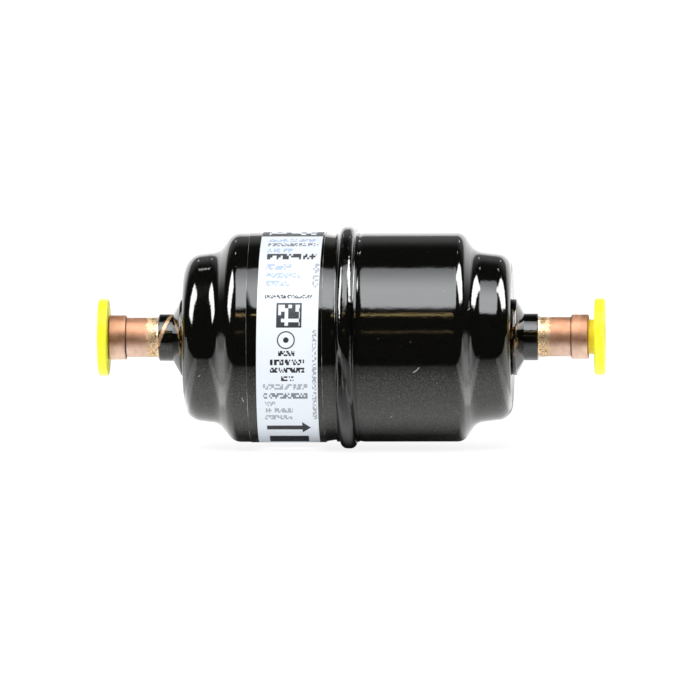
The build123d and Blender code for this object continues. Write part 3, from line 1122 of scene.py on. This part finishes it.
@dataclass
class Label:
    """Film round the inlet half with a printed label under it."""

    film: PrintedFilm
    enamel: Enamel  # what its clear margins show
    body_radius: float = BODY_RADIUS
    thickness: float = 0.1
    arc: float = 205.0
    past_top: float = 15.0
    edge_round: float = 0.04
    longest: float = 2.0
    steps: int = 150

    def build(self) -> bpy.types.Object:
        """Spins the film and dresses it.

        Returns:
            The film.
        """
        left, right = self.film.film_left, self.film.film_right
        outside = self.body_radius + self.thickness
        corners = (
            (left, self.body_radius, 0),
            (left, outside, self.edge_round),
            (right, outside, self.edge_round),
            (right, self.body_radius, 0),
        )
        wrap = Outline("label_wrap", corners, self.longest).spin(self.past_top, self.arc, self.steps)
        wrap.data.materials.append(self.film.make(self.enamel))
        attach(wrap, "drier")
        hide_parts("label")
        log.info("built %s with %d faces", wrap.name, len(wrap.data.polygons))
        return wrap


@dataclass
class Connections:
    """Copper stubs, the alloy round them, and the dust caps."""

    copper: Copper
    braze: BrazeAlloy
    plastic: CapPlastic

    def dress(self) -> None:
        """Gives the pieces at both ends their finishes."""
        copper, braze, plastic = self.copper.make(), self.braze.make(), self.plastic.make()
        for end in ("inlet", "outlet"):
            dress(f"{end}_tube", copper)
            dress(f"{end}_braze", braze)
            dress(f"{end}_cap", plastic)


@dataclass
class Filling:
    """What the shell holds: spring, core, mat and perforated plate."""

    spring: Metal
    plate: Metal
    core: Desiccant
    mat: Felt

    def dress(self) -> None:
        """Gives the pieces inside their finishes."""
        dress("core_spring", self.spring.make())
        dress("perforated_plate", self.plate.make())
        dress("solid_core", self.core.make())
        dress("filter_mat", self.mat.make())


@dataclass(frozen=True)
class Panel:
    """One light of the studio as glossy surfaces see it, flat and square to its own direction."""

    azimuth: float  # degrees from the label's front towards the outlet
    elevation: float  # degrees above the floor
    wide: float  # half width, as a share of its distance
    high: float  # half height, likewise
    radiance: float
    edge: float  # width of its soft edge
    colour: tuple[float, float, float] = (1, 1, 1)
    slant: float = 0.0  # how much it rises for each unit to the right
    top_share: float = 1.0  # its radiance at the upper edge, as a share of that at the lower
    corner: float = 0.0  # radius of its corners
    even: float = -0.2  # where it starts to fade upwards, as a share of its half height above its middle

    def frame(self) -> tuple[Vector, Vector, Vector]:
        """Finds how the panel faces.

        Returns:
            Its direction, its right and its up, from the object.
        """
        turn = math.radians(self.azimuth)
        ahead = direction(self.azimuth, self.elevation)
        right = Vector((math.cos(turn), math.sin(turn), 0))
        return ahead, right, ahead.cross(right)

    def light(self, graph: Graph, ray: Value) -> bpy.types.NodeSocket:
        """Colour that the panel adds along a ray.

        Args:
            graph: The world's graph.
            ray: Direction of the ray.

        Returns:
            The colour, black outside the panel.
        """
        dots = (graph.vector_math("DOT_PRODUCT", ray, tuple(axis)) for axis in self.frame())
        ahead, right, up = (dot.outputs["Value"] for dot in dots)
        near = graph.math("MAXIMUM", ahead, LEAST_DIVISOR)
        across = graph.math("DIVIDE", right, near)
        along = graph.math("DIVIDE", up, near)
        side = graph.math("SUBTRACT", graph.math("ABSOLUTE", across), self.wide - self.corner)
        level = graph.math("SUBTRACT", along, graph.math("MULTIPLY", across, self.slant))
        level = graph.math("SUBTRACT", graph.math("ABSOLUTE", level), self.high - self.corner)
        past = graph.vector(graph.math("MAXIMUM", side, 0.0), graph.math("MAXIMUM", level, 0.0), 0.0)
        out = graph.vector_math("LENGTH", past).outputs["Value"]
        inside = graph.ramp(out, Step(self.corner + self.edge, max(self.corner - self.edge, 0.0)))
        share = graph.ramp(along, Step(self.high, self.even * self.high, self.top_share, 1.0))
        inside = graph.math("MULTIPLY", inside, share)
        return graph.scaled(self.colour, graph.math("MULTIPLY", inside, self.radiance))


def direction(azimuth: float, elevation: float) -> Vector:
    """Points from the object to a place round it.

    Args:
        azimuth: Degrees from the label's front towards the outlet.
        elevation: Degrees above the floor.

    Returns:
        The direction, of length one.
    """
    turn, rise = math.radians(azimuth), math.radians(elevation)
    return Vector((math.sin(turn) * math.cos(rise), -math.cos(turn) * math.cos(rise), math.sin(rise)))


@dataclass(frozen=True)
class Studio:
    """Pale floor, plain light, the lights that glossy surfaces reflect, and the camera, in metres."""

    floor_drop: float  # the floor's height
    floor_half: float = 8.0
    white: Colour = (0.9, 0.9, 0.9, 1)  # the floor, to matt surfaces
    shaded: Colour = (0.3, 0.3, 0.3, 1)  # the floor, where the camera or a reflection sees its shadow
    floor_glow: float = 0.86  # what the floor adds to its own light for the camera
    floor_fill: float = 0.3  # and for matt surfaces
    # What it adds for reflections, a painted shadow under the body and painted light beside it: nothing under
    # the body, most beside it, and less further off, in metres.
    body_side: Step = Step(0.005, 0.017, 0.0, 1.2)
    body_end: Step = Step(0.0235, 0.0275, 0.0, 1.1)
    further: Step = Step(0.012, 0.055, 1.0, 0.1)
    under_tube: tuple[Step, Step] = (Step(0.040, 0.046), Step(0.064, 0.056))
    past_ends: Step = Step(0.040, 0.080, 0.0, 0.6)
    front_edge: Step = Step(-0.054, -0.058)  # where the white floor ends in front, in reflections
    dark: float = 0.02  # what reflections see where nothing is lit
    fill: float = 0.70  # the world, to matt surfaces
    back: Step = Step(0.35, 0.8)  # the wall behind, by how far back a ray points
    back_sides: Step = Step(0.95, 0.75)
    back_low: tuple[Step, float] = (Step(0.5, 0.4), 1.5)  # its lower part and how bright it is
    back_middle: tuple[Step, float] = (Step(0.9, 0.7), 0.35)
    key_place: tuple[float, float, float] = (-0.15, -0.55, 0.9)
    key_size: tuple[float, float] = (0.9, 0.6)
    key_power: float = 4.8  # watts
    camera_turn: float = 2.8  # degrees from the label's front towards the outlet
    camera_rise: float = 4.0  # degrees above the floor
    camera_roll: float = -0.29  # degrees
    camera_distance: float = 3.15
    view_width: float = 0.14707  # what the view spans at the object
    sensor: float = 36.0  # mm
    sight: float = 100.0  # how far the camera sees
    aim: tuple[float, float, float] = (0.00021, 0.0, -0.00273)
    panels: tuple[Panel, ...] = (
        Panel(9, 61, 0.264, 0.466, 7.8, 0.03, (0.95, 0.98, 1.0), 0.0, 0.40, 0.12),
        Panel(83, 47, 0.30, 0.40, 20.0, 0.03, slant=-0.4, corner=0.1),
        Panel(-62, 42, 0.24, 0.40, 20.0, 0.03, slant=-0.2, corner=0.08),
        Panel(-2.8, 28.4, 0.07, 0.007, 12.0, 0.004, (1.0, 0.76, 0.32), corner=0.003),
        Panel(-1.0, 9.3, 0.030, 0.006, 4.0, 0.004, (1.0, 0.78, 0.38), corner=0.003),
        Panel(150, 64, 0.022, 0.010, 11.0, 0.008),
        Panel(-150, 64, 0.022, 0.010, 11.0, 0.008),
        Panel(165, 39, 0.022, 0.010, 8.0, 0.008),
        Panel(-165, 39, 0.022, 0.010, 8.0, 0.008),
    )

    def build(self) -> None:
        """Makes the world, the floor, the lamp and the camera."""
        self.build_world()
        self.build_floor()
        self.build_lamp()
        self.build_camera()

    def build_world(self) -> None:
        """White to the camera, even light to matt surfaces, and the studio to glossy ones."""
        world = bpy.data.worlds.new("studio")
        bpy.context.scene.world = world
        world.use_nodes = True
        graph = Graph(world.node_tree)
        ray = graph.add("ShaderNodeTexCoord", {}).outputs["Generated"]
        total = self.wall(graph, ray)
        for panel in self.panels:
            total = graph.vector_math("ADD", total, panel.light(graph, ray)).outputs[0]
        path = graph.add("ShaderNodeLightPath", {})
        sharp = graph.math("MAXIMUM", path.outputs["Is Glossy Ray"], path.outputs["Is Transmission Ray"])
        seen = graph.mix(sharp, (self.fill, self.fill, self.fill, 1), total)
        seen = graph.mix(path.outputs["Is Camera Ray"], seen, (1, 1, 1, 1))
        background = graph.add("ShaderNodeBackground", {"Color": seen, "Strength": 1.0}).outputs[0]
        graph.add("ShaderNodeOutputWorld", {"Surface": background})

    def wall(self, graph: Graph, ray: Value) -> bpy.types.NodeSocket:
        """Colour of the wall behind and of what isn't lit.

        Args:
            graph: The world's graph.
            ray: Direction of the ray.

        Returns:
            The colour.
        """
        aside, deep, rise = graph.axes(ray)
        sides = graph.ramp(graph.math("ABSOLUTE", aside), self.back_sides)
        behind = graph.math("MULTIPLY", graph.ramp(deep, self.back), sides)
        light = self.dark
        for step, radiance in (self.back_middle, self.back_low):
            part = graph.math("MULTIPLY", behind, graph.ramp(rise, step))
            light = graph.math("MULTIPLY_ADD", part, radiance, light)
        return graph.scaled((1, 1, 1), light)

    def reflected_floor(self, graph: Graph, aside: Value, off: Value) -> bpy.types.NodeSocket:
        """Light that the floor adds for reflections.

        Args:
            graph: The floor's graph.
            aside: Metres from the girth.
            off: Metres from the flow axis.

        Returns:
            The emission's strength.
        """
        clear = graph.join([graph.ramp(off, self.body_side), graph.ramp(aside, self.body_end)])
        near = graph.math("MULTIPLY", clear, graph.ramp(off, self.further))
        inner, outer = (graph.ramp(aside, step) for step in self.under_tube)
        near = graph.math("MULTIPLY_ADD", inner, outer, near)
        return graph.math("ADD", near, graph.ramp(aside, self.past_ends))

    def build_floor(self) -> None:
        """A white floor that keeps the shadow, and that ends in front as reflections see it."""
        material, graph = new_material("floor")
        path = graph.add("ShaderNodeLightPath", {})
        camera, glossy, matt = (path.outputs[f"Is {kind} Ray"] for kind in ("Camera", "Glossy", "Diffuse"))
        grey = graph.mix(graph.math("MAXIMUM", camera, glossy), self.white, self.shaded)
        lit = graph.add("ShaderNodeBsdfDiffuse", {"Color": grey}).outputs[0]
        aside, deep, _ = graph.axes(graph.place())
        near = self.reflected_floor(graph, graph.math("ABSOLUTE", aside), graph.math("ABSOLUTE", deep))
        glow = graph.math("MULTIPLY", camera, self.floor_glow)
        glow = graph.math("MULTIPLY_ADD", glossy, near, glow)
        glow = graph.math("MULTIPLY_ADD", matt, self.floor_fill, glow)
        added = graph.add("ShaderNodeEmission", {"Strength": glow}).outputs[0]
        bright = graph.add("ShaderNodeAddShader", {0: lit, 1: added}).outputs[0]
        dark = graph.add("ShaderNodeEmission", {"Strength": self.dark}).outputs[0]
        share = graph.math("MULTIPLY", graph.ramp(deep, self.front_edge), glossy)
        both = graph.add("ShaderNodeMixShader", {0: share, 1: bright, 2: dark}).outputs[0]
        graph.add("ShaderNodeOutputMaterial", {"Surface": both})
        bpy.ops.mesh.primitive_plane_add(size=2 * self.floor_half, location=(0, 0, self.floor_drop))
        floor = bpy.context.object
        floor.name = "floor"
        floor.data.materials.append(material)
        floor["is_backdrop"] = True

    def build_lamp(self) -> None:
        """A soft lamp above the front, which glossy surfaces don't show."""
        bpy.ops.object.light_add(type="AREA", location=self.key_place)
        lamp = bpy.context.object
        lamp.name = "key"
        lamp.data.shape = "RECTANGLE"
        lamp.data.size, lamp.data.size_y = self.key_size
        lamp.data.energy = self.key_power
        lamp.rotation_euler = (-Vector(lamp.location)).to_track_quat("-Z", "Y").to_euler()
        lamp.visible_glossy = False
        lamp.visible_camera = False

    def build_camera(self) -> None:
        """A long lens at the product's height, a little to the outlet's side."""
        back = direction(self.camera_turn, self.camera_rise)
        data = bpy.data.cameras.new("camera")
        data.sensor_width = self.sensor
        data.lens = self.sensor * self.camera_distance / self.view_width
        data.clip_end = self.sight
        camera = bpy.data.objects.new("camera", data)
        bpy.context.scene.collection.objects.link(camera)
        facing = (-back).to_track_quat("-Z", "Y").to_matrix().to_4x4()
        roll = Matrix.Rotation(math.radians(self.camera_roll), 4, "Z")
        place = Matrix.Translation(Vector(self.aim) + back * self.camera_distance)
        camera.matrix_world = place @ facing @ roll
        bpy.context.scene.camera = camera


def main() -> None:
    """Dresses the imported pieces, builds the new ones and sets up the studio."""
    logging.basicConfig(level=logging.INFO, format="%(message)s")
    bpy.context.scene.view_settings.view_transform = "Standard"
    bpy.ops.object.select_all(action="DESELECT")
    cad_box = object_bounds()
    enamel = Enamel()
    Shell(enamel, BushingEnamel("inlet_bushing_enamel", streaked=True), BushingEnamel()).dress()
    # The bead's enamel paints a fainter floor reflection below the front.
    bead_enamel = Enamel(
        "bead_enamel", painted_floor_sheen=(0.012, 0.012, 0.010, 1), peel=Cloud(1.3, 1.0), peel_depth=0.03, grain_depth=0.012
    )
    WeldBead(bead_enamel).build()
    Label(PrintedFilm(), enamel).build()
    Connections(Copper(), BrazeAlloy(), CapPlastic()).dress()
    wire = Cloud(0.8)
    sheet = Cloud(0.1, 2.0, (1, 30, 1))
    spring = Metal(Slot.SPRING, (0.42, 0.40, 0.38, 1), (0.22, 0.18, 0.15, 1), (0.30, 0.44), wire)
    plate = Metal(Slot.PLATE, (0.66, 0.67, 0.66, 1), (0.55, 0.52, 0.42, 1), (0.24, 0.38), sheet)
    Filling(spring, plate, Desiccant(), Felt()).dress()
    Studio(floor_drop=cad_box[0].z).build()


if __name__ == "__main__":
    main()
